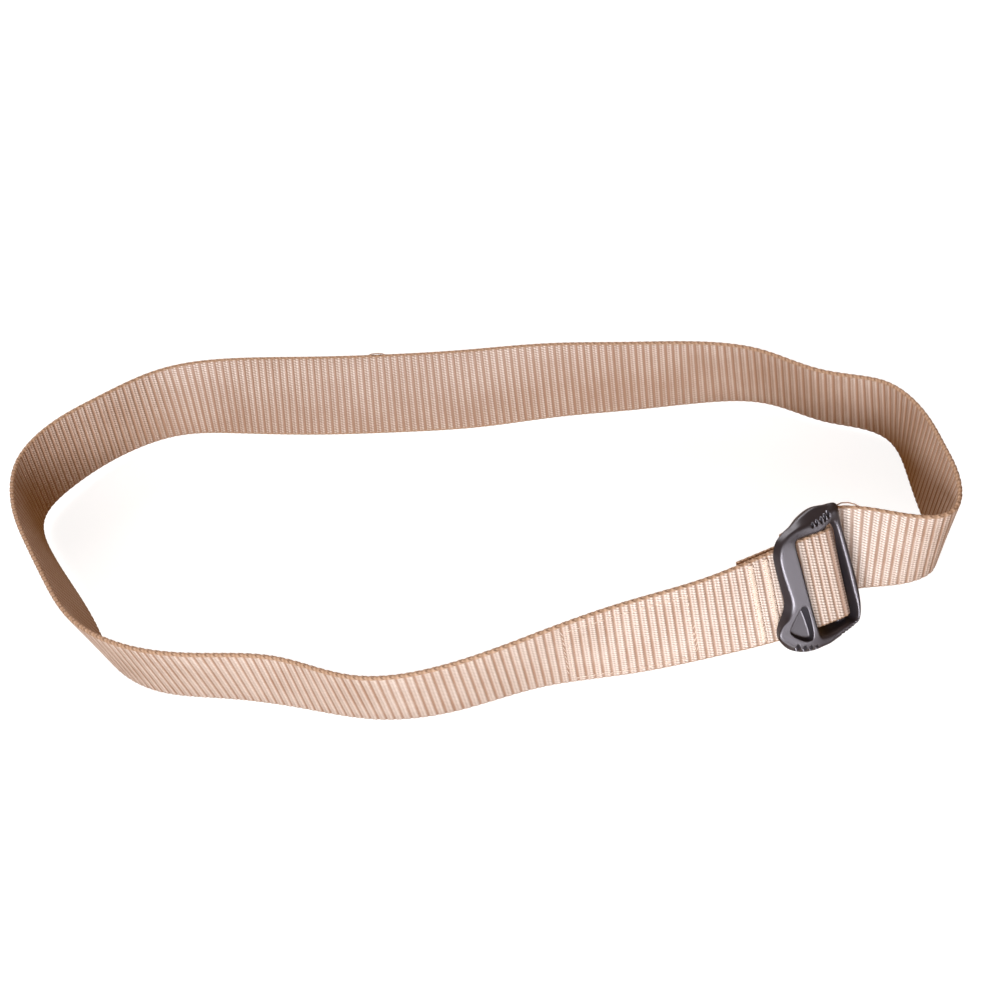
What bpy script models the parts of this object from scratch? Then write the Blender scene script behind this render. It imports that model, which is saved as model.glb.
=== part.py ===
"""Military belt: ribbed webbing standing on its lower edge in a closed loop, and its moulded buckle frame.

The lists below are in millimetres, as a maker would measure them, and MM turns them into metres.
"""
import math

import bmesh
import bpy
import numpy as np
from mathutils import Matrix, Vector

MM = 0.001

# Webbing: its width, thickness, and how far its long edges are rounded off.
WIDTH = 38.1
THICKNESS = 2.1
EDGE_CUT = 0.6
SECTION_STEP = 3.9

# Gap between surfaces that touch on the real belt.
GAP = 0.3

# Where the strap stands, from the fold at the buckle to the left along the front, back along
# the rear, and to the buckle's right bar. x and y are the middle line, lift is the height of
# the lower edge over the table, and lean is how far the top tips outward, in degrees.
STATIONS = (
    # x, y, lift, lean
    (143, -58, 6.0, -27),
    (120, -65, 7.0, -26),
    (91, -71, 5.5, -14),
    (55, -74, 4.0, -6),
    (18, -77, 3.0, 8),
    (-17, -81, 0.5, 12),
    (-50, -78, 0.0, 13),
    (-79, -65, 0.5, 8),
    (-110, -55, 0.5, 12),
    (-139, -44, 0.0, 11),
    (-159, -26, 0.5, 13),
    (-170, -4, 1.5, 16),
    (-181, 20, 2.5, 14),
    (-191, 44, 3.0, 8),
    (-194, 68, 4.0, -1),
    (-182, 90, 3.0, 0),
    (-161, 107, 1.5, -1),
    (-134, 119, 0.0, 7),
    (-101, 116, 0.5, 21),
    (-65, 107, 1.0, 26),
    (-27, 100, 0.0, 25),
    (11, 93, 0.5, 23),
    (48, 89, 0.0, 14),
    (82, 82, 0.5, 5),
    (113, 76, 1.0, -3),
    (140, 65, 2.0, -11),
    (163.5, 46.4, 1.0, -13),
    (185.7, 31.3, 1.0, -9),
    (192.1, 8.2, 0.0, 5),
    (192.1, -14.2, 0.2, 10),
    (190.8, -34.3, 0.7, 11),
    (183.2, -48.7, 0.2, 7.5),
    (174.1, -50.4, 0.5, 0.5),
    (147, -45.1, 2.6, -19.5),
)

# The hidden tail of the strap lies behind the buckle: how far along the front run each place
# is, how far behind the front layer, and how far the tail has ridden up.
TAIL = (
    # along, behind, rise
    (4, 13.0, 3.6),
    (11, 10.6, 2.2),
    (19, 8.2, 1.2),
)

# The buckle sits this far along the front run. Its own plane has u to the right along the
# strap, v up across the strap, and w out towards the front, from the strap's middle.
BUCKLE_AT = 14.0

# Middle bar of the buckle, hidden inside the strap's fold.
BAR_MIDDLE_U = 8.0
BAR_WIDTH = 4.3
BAR_DEPTH = 2.6
BAR_ENDS_V = (-22.4, 23.0)
BAR_SLANT = 1.6

# Sewn fold: the strap turns round the middle bar and runs back behind itself. The bar's slant
# is lost again by the place where the two layers are parallel, and the turn stands a little
# further out than its own radius, to stay clear of the bar's corners.
FOLD_RADIUS = BAR_DEPTH / 2 + GAP + THICKNESS / 2
FOLD_CLEARANCE = 0.15
FOLD_AT = BUCKLE_AT - (BAR_MIDDLE_U + BAR_WIDTH / 2 - BAR_DEPTH / 2) - FOLD_CLEARANCE
FOLD_STEPS = 10
BACK_LAYER_END = 43.6
BACK_LAYER_PARTS = 9.2
BACK_LAYER_MEETS = 30.0
SLANT_ENDS = 22.0

# The frame as sections round its window: the window side, the crease where the flat face
# turns down, and the outer side, each in u and v. front is the face, rim the foot of the
# sloped outer side, and back the rear face, all in w.
FRAME_SECTIONS = (
    # in_u, in_v, crease_u, crease_v, out_u, out_v, front, rim, back
    (-6.3, -1.5, -13.7, -1.8, -16.0, -1.6, 6.0, 2.2, 1.75),
    (-6.7, 4.5, -14.4, 4.5, -16.3, 4.6, 6.0, 2.2, 1.75),
    (-7.0, 11.0, -15.1, 10.6, -16.6, 11.4, 6.0, 2.2, 1.75),
    (-7.4, 16.8, -15.0, 16.4, -16.4, 17.2, 6.0, 2.2, 1.75),
    (-7.2, 20.2, -12.9, 21.2, -14.5, 21.9, 5.8, 2.0, 1.75),
    (-5.8, 21.2, -9.5, 24.0, -10.4, 24.5, 5.4, 1.2, 0.6),
    (-3.4, 21.2, -5.5, 25.0, -6.0, 25.8, 5.0, 0.6, -1.6),
    (-0.5, 20.9, -1.5, 24.9, -1.7, 27.5, 4.7, 0.4, -3.6),
    (2.4, 20.6, 2.8, 24.8, 2.9, 29.0, 4.5, 0.2, -4.2),
    (5.8, 20.8, 6.4, 25.6, 6.4, 29.5, 4.3, 0.2, -4.2),
    (8.8, 22.0, 9.6, 26.6, 10.6, 28.8, 4.0, 0.2, -4.2),
    (11.2, 22.2, 13.4, 25.8, 15.3, 27.7, 3.4, 0.4, -3.0),
    (12.4, 19.0, 14.1, 19.4, 15.3, 20.2, 2.6, 1.0, -1.0),
    (13.1, 10.5, 14.9, 10.5, 16.1, 10.5, 2.5, 1.0, -2.6),
    (13.7, 2.0, 15.5, 2.0, 16.7, 2.0, 2.5, 1.0, -3.8),
    (14.1, -7.5, 16.0, -7.5, 17.2, -7.5, 2.5, 1.0, -4.7),
    (14.4, -15.4, 15.7, -15.8, 16.7, -16.1, 2.8, 1.0, -4.8),
    (13.2, -20.3, 14.1, -20.9, 14.7, -21.2, 3.0, 1.0, -4.8),
    (9.2, -21.0, 10.9, -22.5, 11.6, -23.3, 3.2, 1.2, -4.8),
    (5.4, -21.4, 6.8, -23.6, 7.2, -24.4, 3.6, 1.2, -5.2),
    (1.6, -21.9, 2.8, -24.4, 3.0, -25.2, 4.2, 1.4, -5.0),
    (-2.0, -21.6, -1.8, -25.0, -1.8, -26.0, 4.9, 1.8, -4.4),
    (-4.6, -20.4, -7.1, -24.6, -6.6, -26.5, 5.6, 2.4, 1.6),
    (-5.3, -17.0, -13.4, -23.0, -13.0, -25.2, 6.0, 2.4, 1.75),
    (-5.6, -14.2, -18.6, -19.9, -18.8, -21.4, 6.0, 2.4, 1.75),
    (-5.8, -11.4, -22.2, -14.4, -21.8, -15.2, 6.0, 2.4, 1.75),
    (-6.0, -8.8, -20.2, -10.4, -20.6, -10.6, 6.0, 2.4, 1.75),
    (-6.1, -6.4, -16.6, -8.2, -18.4, -7.7, 6.0, 2.4, 1.75),
    (-6.2, -4.2, -14.4, -5.6, -16.7, -4.6, 6.0, 2.4, 1.75),
)
FRAME_STEPS = 2
FRAME_ROUNDING = 1.1
BACK_SHRINK = 0.955

# Pocket in the lower lobe: the same corners at the face and on the floor.
POCKET_RIM = ((-9.2, -5.1), (-7.8, -6.6), (-7.5, -19.0), (-9.3, -20.6), (-12.6, -19.4), (-17.0, -15.4),
              (-17.6, -12.8), (-10.7, -5.6))
POCKET_FLOOR = ((-9.6, -8.2), (-9.1, -9.4), (-8.6, -18.6), (-9.7, -19.7), (-12.5, -18.6), (-16.6, -15.0),
                (-17.2, -13.3), (-10.7, -7.4))
POCKET_RIM_W = 6.2
POCKET_FLOOR_W = 2.4

# Grip notches cut over the crease: place, height, half width along the crease, half length.
NOTCHES = (
    # u, v, w, half_width, half_length
    (0.8, 24.6, 4.6, 0.50, 0.9),
    (2.8, 24.9, 4.5, 0.55, 1.1),
    (4.8, 25.3, 4.4, 0.55, 1.3),
    (6.7, 25.9, 4.2, 0.60, 1.5),
    (8.5, 26.7, 4.0, 0.60, 1.6),
    (5.3, -24.2, 3.5, 0.40, 0.7),
    (7.1, -23.6, 3.3, 0.40, 0.7),
    (8.8, -23.0, 3.2, 0.40, 0.7),
    (10.4, -22.6, 3.1, 0.40, 0.7),
    (12.0, -22.0, 3.0, 0.40, 0.7),
    (-15.7, -21.4, 5.6, 1.05, 1.9),
    (-12.6, -23.0, 5.5, 1.00, 1.7),
    (-9.9, -24.0, 5.3, 0.80, 1.4),
    (-7.4, -24.7, 5.2, 0.65, 1.1),
)
NOTCH_DEPTH = 1.3

# Finish of each piece: base colour in linear light, roughness, metallic.
WEBBING_FINISH = ((0.66, 0.48, 0.34), 0.85, 0.0)
FRAME_FINISH = ((0.045, 0.04, 0.045), 0.45, 0.0)


def clear_scene():
    for thing in list(bpy.data.objects):
        bpy.data.objects.remove(thing, do_unlink=True)


def make_material(name, finish):
    colour, roughness, metallic = finish
    material = bpy.data.materials.new(name)
    material.use_nodes = True
    shader = material.node_tree.nodes["Principled BSDF"]
    shader.inputs["Base Color"].default_value = (*colour, 1.0)
    shader.inputs["Roughness"].default_value = roughness
    shader.inputs["Metallic"].default_value = metallic
    return material


def make_object(name, mesh, finish):
    mesh.materials.append(make_material(name + "_finish", finish))
    piece = bpy.data.objects.new(name, mesh)
    bpy.context.scene.collection.objects.link(piece)
    return piece


def smooth_curve(knots, values):
    """Natural cubic spline through the values, as a function that gives place and slope."""
    gaps = np.diff(knots)
    slopes = np.diff(values, axis=0) / gaps[:, None]
    count = len(knots)
    system = np.eye(count)
    bends = np.zeros_like(values)
    for i in range(1, count - 1):
        system[i, i - 1:i + 2] = (gaps[i - 1], 2 * (gaps[i - 1] + gaps[i]), gaps[i])
        bends[i] = 6 * (slopes[i] - slopes[i - 1])
    bends = np.linalg.solve(system, bends)

    def at(along):
        i = int(np.clip(np.searchsorted(knots, along) - 1, 0, count - 2))
        gap = gaps[i]
        after = along - knots[i]
        before = knots[i + 1] - along
        place = (bends[i] * before**3 + bends[i + 1] * after**3) / (6 * gap)
        place += (values[i] / gap - bends[i] * gap / 6) * before
        place += (values[i + 1] / gap - bends[i + 1] * gap / 6) * after
        slope = (bends[i + 1] * after**2 - bends[i] * before**2) / (2 * gap)
        slope += slopes[i] - (bends[i + 1] - bends[i]) * gap / 6
        return place, slope

    return at


def station_knots(stations):
    """The stations as middle-line points with their lean, and the distance along them."""
    values = []
    for x, y, lift, lean in stations:
        tip = math.radians(lean)
        height = lift + WIDTH / 2 * math.cos(tip) + THICKNESS / 2 * abs(math.sin(tip))
        values.append((x, y, height, lean))
    values = np.array(values)
    steps = np.linalg.norm(np.diff(values[:, :3], axis=0), axis=1)
    return np.concatenate(([0.0], np.cumsum(steps))), values


def strap_frame(curve, along):
    """Middle point, direction, upward and inward unit vectors of the strap at a distance."""
    place, slope = curve(along)
    middle = Vector(place[:3])
    forward = Vector(slope[:3]).normalized()
    outward = Vector((-forward.y, forward.x, 0.0)).normalized()
    tip = math.radians(place[3])
    up = Vector((0.0, 0.0, math.cos(tip))) + outward * math.sin(tip)
    up = (up - forward * up.dot(forward)).normalized()
    return middle, forward, up, forward.cross(up)


def ease(amount):
    amount = min(max(amount, 0.0), 1.0)
    return amount * amount * (3 - 2 * amount)


def strap_curve():
    """The whole middle line, with the hidden tail laid behind the start of the front run."""
    knots, values = station_knots(STATIONS)
    front_run = smooth_curve(knots, values)
    tail = []
    for along, behind, rise in TAIL:
        middle, forward, up, inward = strap_frame(front_run, along)
        place = middle + inward * behind + up * rise
        tail.append((*place, front_run(along)[0][3]))
    values = np.vstack([values, tail])
    steps = np.linalg.norm(np.diff(values[:, :3], axis=0), axis=1)
    knots = np.concatenate(([0.0], np.cumsum(steps)))
    return smooth_curve(knots, values), knots[-1]


def slanted_frame(curve, along):
    """The strap's frame, turned in its own plane near the fold to follow the slanted bar."""
    middle, forward, up, inward = strap_frame(curve, along)
    turned = ease((SLANT_ENDS - along) / (SLANT_ENDS - FOLD_AT))
    turn = Matrix.Rotation(-math.radians(BAR_SLANT) * turned, 3, inward)
    return middle, turn @ forward, turn @ up, inward


def strap_sections():
    """Middle, upward and inward vectors of every section, from the sewn end to the tail."""
    curve, length = strap_curve()
    sections = []
    turn = 2 * FOLD_RADIUS
    meets = THICKNESS + GAP
    back_steps = round((BACK_LAYER_END - FOLD_AT) / SECTION_STEP)
    for along in np.linspace(BACK_LAYER_END, FOLD_AT, back_steps, endpoint=False):
        middle, forward, up, inward = slanted_frame(curve, along)
        parted = ease((BACK_LAYER_MEETS - along) / (BACK_LAYER_MEETS - BACK_LAYER_PARTS))
        sections.append((middle + inward * (meets + (turn - meets) * parted), up, -inward))
    middle, forward, up, inward = slanted_frame(curve, FOLD_AT)
    centre = middle + inward * FOLD_RADIUS
    for step in range(FOLD_STEPS):
        angle = math.pi * step / FOLD_STEPS
        facing = forward * math.sin(angle) - inward * math.cos(angle)
        sections.append((centre - facing * FOLD_RADIUS, up, facing))
    run_steps = round((length - FOLD_AT) / SECTION_STEP)
    for along in np.linspace(FOLD_AT, length, run_steps + 1):
        middle, forward, up, inward = slanted_frame(curve, along)
        sections.append((middle, up, inward))
    return sections


def webbing():
    """One closed strap: a flat section with softened edges, swept through every section."""
    half_width = WIDTH / 2
    half_thick = THICKNESS / 2
    profile = []
    for side_up, side_in in ((1, 1), (1, -1), (-1, -1), (-1, 1)):
        corner = [(side_up * (half_width - EDGE_CUT), side_in * half_thick),
                  (side_up * half_width, side_in * (half_thick - EDGE_CUT))]
        profile += corner if side_up == side_in else corner[::-1]
    shape = bmesh.new()
    rings = []
    for middle, up, inward in strap_sections():
        rings.append([shape.verts.new((middle + up * high + inward * deep) * MM) for high, deep in profile])
    for ring, following in zip(rings, rings[1:]):
        for i in range(len(profile)):
            j = (i + 1) % len(profile)
            shape.faces.new((ring[i], ring[j], following[j], following[i]))
    shape.faces.new(rings[0][::-1])
    shape.faces.new(rings[-1])
    return close_mesh(shape, "webbing")


def close_mesh(shape, name):
    bmesh.ops.triangulate(shape, faces=shape.faces)
    bmesh.ops.recalc_face_normals(shape, faces=shape.faces)
    mesh = bpy.data.meshes.new(name)
    shape.to_mesh(mesh)
    shape.free()
    return mesh


def between_rows(rows, steps):
    """Catmull-Rom values round a closed list of rows, a few for each row."""
    rows = np.array(rows)
    result = []
    for i in range(len(rows)):
        before, start, end, after = (rows[(i + k) % len(rows)] for k in (-1, 0, 1, 2))
        for step in range(steps):
            t = step / steps
            result.append(0.5 * (2 * start + (end - before) * t
                                 + (2 * before - 5 * start + 4 * end - after) * t**2
                                 + (3 * start - before - 3 * end + after) * t**3))
    return result


def rounded(corners, radius):
    """Each corner of a closed outline cut back and replaced by three points of a curve."""
    points = []
    for i, corner in enumerate(corners):
        before = corners[i - 1]
        after = corners[(i + 1) % len(corners)]
        start = corner + (before - corner) * min(0.45, radius / (before - corner).length)
        end = corner + (after - corner) * min(0.45, radius / (after - corner).length)
        points += [start, (start + end) * 0.25 + corner * 0.5, end]
    return points


def frame_ring():
    """The moulded ring round the window, in the buckle's own u, v and w."""
    shape = bmesh.new()
    rings = []
    for in_u, in_v, crease_u, crease_v, out_u, out_v, front, rim, back in between_rows(FRAME_SECTIONS,
                                                                                         FRAME_STEPS):
        corners = [Vector((in_u * BACK_SHRINK, in_v * BACK_SHRINK, back)), Vector((in_u, in_v, front)),
                   Vector((crease_u, crease_v, front)), Vector((out_u, out_v, rim)),
                   Vector((out_u * BACK_SHRINK, out_v * BACK_SHRINK, back))]
        rings.append([shape.verts.new(point * MM) for point in rounded(corners, FRAME_ROUNDING)])
    for ring, following in zip(rings, rings[1:] + rings[:1]):
        for i in range(len(ring)):
            j = (i + 1) % len(ring)
            shape.faces.new((ring[i], ring[j], following[j], following[i]))
    return close_mesh(shape, "buckle_frame")


def middle_bar():
    """The hidden bar that the strap's sewn end turns round."""
    low, high = BAR_ENDS_V
    shape = bmesh.new()
    bmesh.ops.create_cube(shape, size=1.0)
    size = Matrix.Diagonal((BAR_WIDTH * MM, (high - low) * MM, BAR_DEPTH * MM, 1.0))
    slant = Matrix.Rotation(math.radians(BAR_SLANT), 4, "Z")
    place = Matrix.Translation(Vector((BAR_MIDDLE_U, (low + high) / 2, -FOLD_RADIUS)) * MM)
    long_edges = [edge for edge in shape.edges if abs((edge.verts[0].co - edge.verts[1].co).y) > 0.5]
    bmesh.ops.transform(shape, matrix=place @ slant @ size, verts=shape.verts)
    bmesh.ops.bevel(shape, geom=long_edges, offset=(BAR_DEPTH / 2 - 0.05) * MM, segments=3,
                    profile=0.5, affect="EDGES")
    return close_mesh(shape, "middle_bar")


def pocket_shape():
    """What the pocket takes out of the lobe: the rim's outline narrowing to the floor's."""
    shape = bmesh.new()
    rim = [shape.verts.new(Vector((u, v, POCKET_RIM_W)) * MM) for u, v in POCKET_RIM]
    floor = [shape.verts.new(Vector((u, v, POCKET_FLOOR_W)) * MM) for u, v in POCKET_FLOOR]
    for i in range(len(rim)):
        j = (i + 1) % len(rim)
        shape.faces.new((rim[i], rim[j], floor[j], floor[i]))
    shape.faces.new(rim[::-1])
    shape.faces.new(floor)
    return close_mesh(shape, "pocket_shape")


def notch_shapes():
    """What the grip notches take out: one long rounded cut for each."""
    shape = bmesh.new()
    for u, v, w, half_width, half_length in NOTCHES:
        size = Matrix.Diagonal((half_width * MM, half_length * MM, NOTCH_DEPTH * MM, 1.0))
        place = Matrix.Translation(Vector((u, v, w)) * MM)
        bmesh.ops.create_icosphere(shape, subdivisions=2, radius=1.0, matrix=place @ size)
    return close_mesh(shape, "notch_shapes")


def add_cutter(piece, mesh, operation):
    """Joins or cuts a piece with another mesh that stays out of the finished belt."""
    cutter = bpy.data.objects.new(mesh.name, mesh)
    cutter.hide_render = True
    cutter.display_type = "WIRE"
    cutter.parent = piece
    bpy.context.scene.collection.objects.link(cutter)
    change = piece.modifiers.new(mesh.name, "BOOLEAN")
    change.operation = operation
    change.solver = "EXACT"
    change.object = cutter


def buckle_place():
    """The buckle's own axes and middle, read from the strap that it sits on."""
    curve, length = strap_curve()
    middle, forward, up, inward = strap_frame(curve, BUCKLE_AT)
    axes = Matrix((-forward, up, -inward)).transposed().to_4x4()
    return Matrix.Translation(middle * MM) @ axes


def stand_on_origin(pieces):
    """Parents the pieces to an empty that puts the middle of their base on the origin."""
    corners = []
    for piece in pieces:
        corners += [piece.matrix_basis @ vertex.co for vertex in piece.data.vertices]
    corners = np.array(corners)
    low = corners.min(axis=0)
    high = corners.max(axis=0)
    belt = bpy.data.objects.new("belt", None)
    bpy.context.scene.collection.objects.link(belt)
    belt.location = (-(low[0] + high[0]) / 2, -(low[1] + high[1]) / 2, -low[2])
    for piece in pieces:
        piece.parent = belt


clear_scene()
strap = make_object("webbing", webbing(), WEBBING_FINISH)
frame = make_object("buckle_frame", frame_ring(), FRAME_FINISH)
frame.matrix_basis = buckle_place()
add_cutter(frame, middle_bar(), "UNION")
add_cutter(frame, pocket_shape(), "DIFFERENCE")
add_cutter(frame, notch_shapes(), "DIFFERENCE")
stand_on_origin([strap, frame])
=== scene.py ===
"""Military belt: ribbed nylon webbing standing in a closed loop, and its moulded buckle frame."""
import math
import random

import bmesh
import bpy
import numpy as np
from mathutils import Matrix, Vector


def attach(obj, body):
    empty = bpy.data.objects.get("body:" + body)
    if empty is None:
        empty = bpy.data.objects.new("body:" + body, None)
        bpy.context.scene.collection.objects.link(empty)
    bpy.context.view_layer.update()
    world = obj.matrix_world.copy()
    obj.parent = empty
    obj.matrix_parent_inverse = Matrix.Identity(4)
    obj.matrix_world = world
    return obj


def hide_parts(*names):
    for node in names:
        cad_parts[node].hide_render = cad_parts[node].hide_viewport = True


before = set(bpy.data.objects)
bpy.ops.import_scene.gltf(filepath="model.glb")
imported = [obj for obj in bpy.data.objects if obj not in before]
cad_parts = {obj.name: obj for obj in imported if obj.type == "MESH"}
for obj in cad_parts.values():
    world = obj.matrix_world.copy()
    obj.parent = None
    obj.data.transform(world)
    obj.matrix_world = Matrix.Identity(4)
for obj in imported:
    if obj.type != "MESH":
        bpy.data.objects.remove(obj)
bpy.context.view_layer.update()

# The view
# A phone held in front of the belt and above it, pointing down at about 45 degrees and rolled a
# little. The belt's own lengths are in millimetres, and MM turns them into the scene's metres.
# BELT_MIDDLE is the middle of the belt's footprint, where the scene's origin lies.
MM = 0.001
BELT_MIDDLE = Vector((0.321, 19.193, -0.0012))
CAMERA_PLACE = (14.0, -447.0, 471.77)
CAMERA_RIGHT = (0.98637, -0.11503, -0.11762)
CAMERA_UP = (0.16452, 0.68966, 0.70520)


def camera_matrix(place, right, up):
    """Where the camera stands, from its place in mm and the directions of its right and up."""
    right = Vector(right).normalized()
    up = (Vector(up) - right * Vector(up).dot(right)).normalized()
    axes = Matrix((right, up, right.cross(up))).transposed().to_4x4()
    return Matrix.Translation((Vector(place) - BELT_MIDDLE) * MM) @ axes


view = bpy.data.cameras.new("view")
view.sensor_width = 36.0
view.lens = 54.47
view.shift_y = 0.001
view.clip_start = 0.02
camera = bpy.data.objects.new("view", view)
bpy.context.scene.collection.objects.link(camera)
camera.matrix_world = camera_matrix(CAMERA_PLACE, CAMERA_RIGHT, CAMERA_UP)
bpy.context.scene.camera = camera

# Webbing
# One strap of tan nylon, woven on a narrow loom with thick picks that stand out as ribs
# across the band. It is folded round the buckle's hidden bar, runs once round the loop and
# passes behind the buckle's right-hand rod to a short hidden tail.
WIDTH = 38.1
THICKNESS = 2.1
# The middle line from the buckle to the left along the front, back along the rear and on to the
# buckle's right-hand rod.
STATIONS = (
    # x, y, lift of the lower edge, lean of the top outward in degrees
    (143, -58, 6.0, -27),
    (120, -65, 7.0, -26),
    (91, -71, 5.5, -14),
    (55, -74, 4.0, -6),
    (18, -77, 3.0, 8),
    (-17, -81, 0.5, 12),
    (-50, -78, 0.0, 13),
    (-79, -65, 0.5, 8),
    (-110, -55, 0.5, 12),
    (-139, -44, 0.0, 11),
    (-159, -26, 0.5, 13),
    (-170, -4, 1.5, 16),
    (-181, 20, 2.5, 14),
    (-191, 44, 3.0, 8),
    (-194, 68, 4.0, -1),
    (-182, 90, 3.0, 0),
    (-161, 107, 1.5, -1),
    (-134, 119, 0.0, 7),
    (-101, 116, 0.5, 21),
    (-65, 107, 1.0, 26),
    (-27, 100, 0.0, 25),
    (11, 93, 0.5, 23),
    (48, 89, 0.0, 14),
    (82, 82, 0.5, 5),
    (113, 76, 1.0, -3),
    (140, 65, 2.0, -11),
    (163.5, 46.4, 1.0, -13),
    (185.7, 31.3, 1.0, -9),
    (192.1, 8.2, 0.0, 5),
    (192.1, -14.2, 0.2, 10),
    (190.8, -34.3, 0.7, 11),
    (183.2, -48.7, 0.2, 7.5),
    (174.1, -50.4, 0.5, 0.5),
    (147, -45.1, 2.6, -19.5),
)
TAIL = (
    # along the front run, behind it, ridden up
    (4, 13.0, 3.6),
    (11, 10.6, 2.2),
    (19, 8.2, 1.2),
)
# The buckle sits this far along the front run, and GAP is left between surfaces that touch on
# the real belt.
BUCKLE_AT = 14.0
GAP = 0.3
# The buckle's hidden bar, in the buckle's own u and v, and the fold that turns round it. The back
# layer stands off by the fold's width, then meets the front layer further along, and the bar's
# slant is lost again by SLANT_ENDS.
BAR_MIDDLE_U = 8.0
BAR_WIDTH = 4.3
BAR_DEPTH = 2.6
BAR_ENDS_V = (-22.4, 23.0)
BAR_SLANT = 1.6
BAR_FLAT = 0.1
FOLD_RADIUS = BAR_DEPTH / 2 + GAP + THICKNESS / 2
FOLD_CLEARANCE = 0.15
FOLD_AT = BUCKLE_AT - (BAR_MIDDLE_U + BAR_WIDTH / 2 - BAR_DEPTH / 2) - FOLD_CLEARANCE
BACK_LAYER_END = 43.6
BACK_LAYER_PARTS = 9.2
BACK_LAYER_MEETS = 30.0
SLANT_ENDS = 22.0

# One repeat of the weave is a deep groove, a strong narrow rib, a shallow groove and a weaker
# rib. RELIEF follows the outer face over one repeat in equal steps, and the inner face has it
# the other way round.
RIB = 3.36
# How pale the yarn is falls with its depth, so the grooves are painted darker as painted shade.
RELIEF = (
    # height in mm, how pale the yarn is, how far the gaps between yarns open
    (-0.27, 0.00, 0.00),
    (-0.24, 0.05, 0.10),
    (-0.15, 0.40, 0.45),
    (-0.04, 0.90, 0.75),
    (0.00, 1.00, 0.80),
    (-0.04, 0.85, 0.80),
    (-0.10, 0.60, 0.80),
    (-0.10, 0.60, 0.75),
    (-0.05, 0.75, 0.75),
    (-0.05, 0.75, 0.65),
    (-0.15, 0.35, 0.35),
    (-0.24, 0.05, 0.05),
)
SELVAGE_DRAWS_IN = 0.3
ACROSS_FACE = 5
ROUND_EDGE = 6


def smooth_curve(knots, values):
    """Natural cubic spline through the values, as a function that gives place and slope."""
    gaps = np.diff(knots)
    slopes = np.diff(values, axis=0) / gaps[:, None]
    count = len(knots)
    system = np.eye(count)
    bends = np.zeros_like(values)
    for i in range(1, count - 1):
        system[i, i - 1:i + 2] = (gaps[i - 1], 2 * (gaps[i - 1] + gaps[i]), gaps[i])
        bends[i] = 6 * (slopes[i] - slopes[i - 1])
    bends = np.linalg.solve(system, bends)

    def at(along):
        i = int(np.clip(np.searchsorted(knots, along) - 1, 0, count - 2))
        gap = gaps[i]
        after = along - knots[i]
        before = knots[i + 1] - along
        place = (bends[i] * before**3 + bends[i + 1] * after**3) / (6 * gap)
        place += (values[i] / gap - bends[i] * gap / 6) * before
        place += (values[i + 1] / gap - bends[i + 1] * gap / 6) * after
        slope = (bends[i + 1] * after**2 - bends[i] * before**2) / (2 * gap)
        slope += slopes[i] - (bends[i + 1] - bends[i]) * gap / 6
        return place, slope

    return at


def strap_frame(curve, along):
    """Middle point, direction, upward and inward unit vectors of the strap at a distance."""
    place, slope = curve(along)
    middle = Vector(place[:3])
    forward = Vector(slope[:3]).normalized()
    outward = Vector((-forward.y, forward.x, 0.0)).normalized()
    tip = math.radians(place[3])
    up = Vector((0.0, 0.0, math.cos(tip))) + outward * math.sin(tip)
    up = (up - forward * up.dot(forward)).normalized()
    return middle, forward, up, forward.cross(up)


def spline_knots(values):
    """Distance of each point along the chain that they make."""
    steps = np.linalg.norm(np.diff(values[:, :3], axis=0), axis=1)
    return np.concatenate(([0.0], np.cumsum(steps)))


def strap_curve():
    """The whole middle line, with the hidden tail laid behind the start of the front run."""
    values = []
    for x, y, lift, lean in STATIONS:
        tip = math.radians(lean)
        height = lift + WIDTH / 2 * math.cos(tip) + THICKNESS / 2 * abs(math.sin(tip))
        values.append((x, y, height, lean))
    values = np.array(values)
    front_run = smooth_curve(spline_knots(values), values)
    tail = []
    for along, behind, rise in TAIL:
        middle, forward, up, inward = strap_frame(front_run, along)
        tail.append((*(middle + inward * behind + up * rise), front_run(along)[0][3]))
    values = np.vstack([values, tail])
    knots = spline_knots(values)
    return smooth_curve(knots, values), knots[-1]


def ease(amount):
    """Smooth step from 0 to 1, level at both ends."""
    amount = min(max(amount, 0.0), 1.0)
    return amount * amount * (3 - 2 * amount)


run_curve, run_length = strap_curve()


def slanted_frame(along):
    """The strap's frame, turned in its own plane near the fold to follow the slanted bar."""
    middle, forward, up, inward = strap_frame(run_curve, along)
    turned = ease((SLANT_ENDS - along) / (SLANT_ENDS - FOLD_AT))
    turn = Matrix.Rotation(-math.radians(BAR_SLANT) * turned, 3, inward)
    return middle, turn @ forward, turn @ up, inward


def strap_path():
    """Sections from the sewn end to the tail: distance, middle, upward, inward."""
    step = RIB / len(RELIEF)
    turn_length = math.pi * FOLD_RADIUS
    start = step * round((FOLD_AT - BACK_LAYER_END - turn_length) / step)
    sections = []
    for distance in np.arange(start, run_length - FOLD_AT + step / 2, step):
        if distance < -turn_length:
            along = FOLD_AT - turn_length - distance
            middle, forward, up, inward = slanted_frame(along)
            parted = ease((BACK_LAYER_MEETS - along) / (BACK_LAYER_MEETS - BACK_LAYER_PARTS))
            meets = THICKNESS + GAP
            behind = meets + (2 * FOLD_RADIUS - meets) * parted
            sections.append((distance, middle + inward * behind, up, -inward))
        elif distance < 0:
            middle, forward, up, inward = slanted_frame(FOLD_AT)
            angle = -distance / FOLD_RADIUS
            facing = forward * math.sin(angle) + inward * math.cos(angle)
            centre = middle + inward * FOLD_RADIUS
            sections.append((distance, centre - facing * FOLD_RADIUS, up, facing))
        else:
            middle, forward, up, inward = slanted_frame(FOLD_AT + distance)
            sections.append((distance, middle, up, inward))
    return sections


def relief(distance):
    """Height of the face at a place on the weave, how pale it is and how open its yarn gaps are."""
    return RELIEF[round(distance / RIB * len(RELIEF)) % len(RELIEF)]


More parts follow.
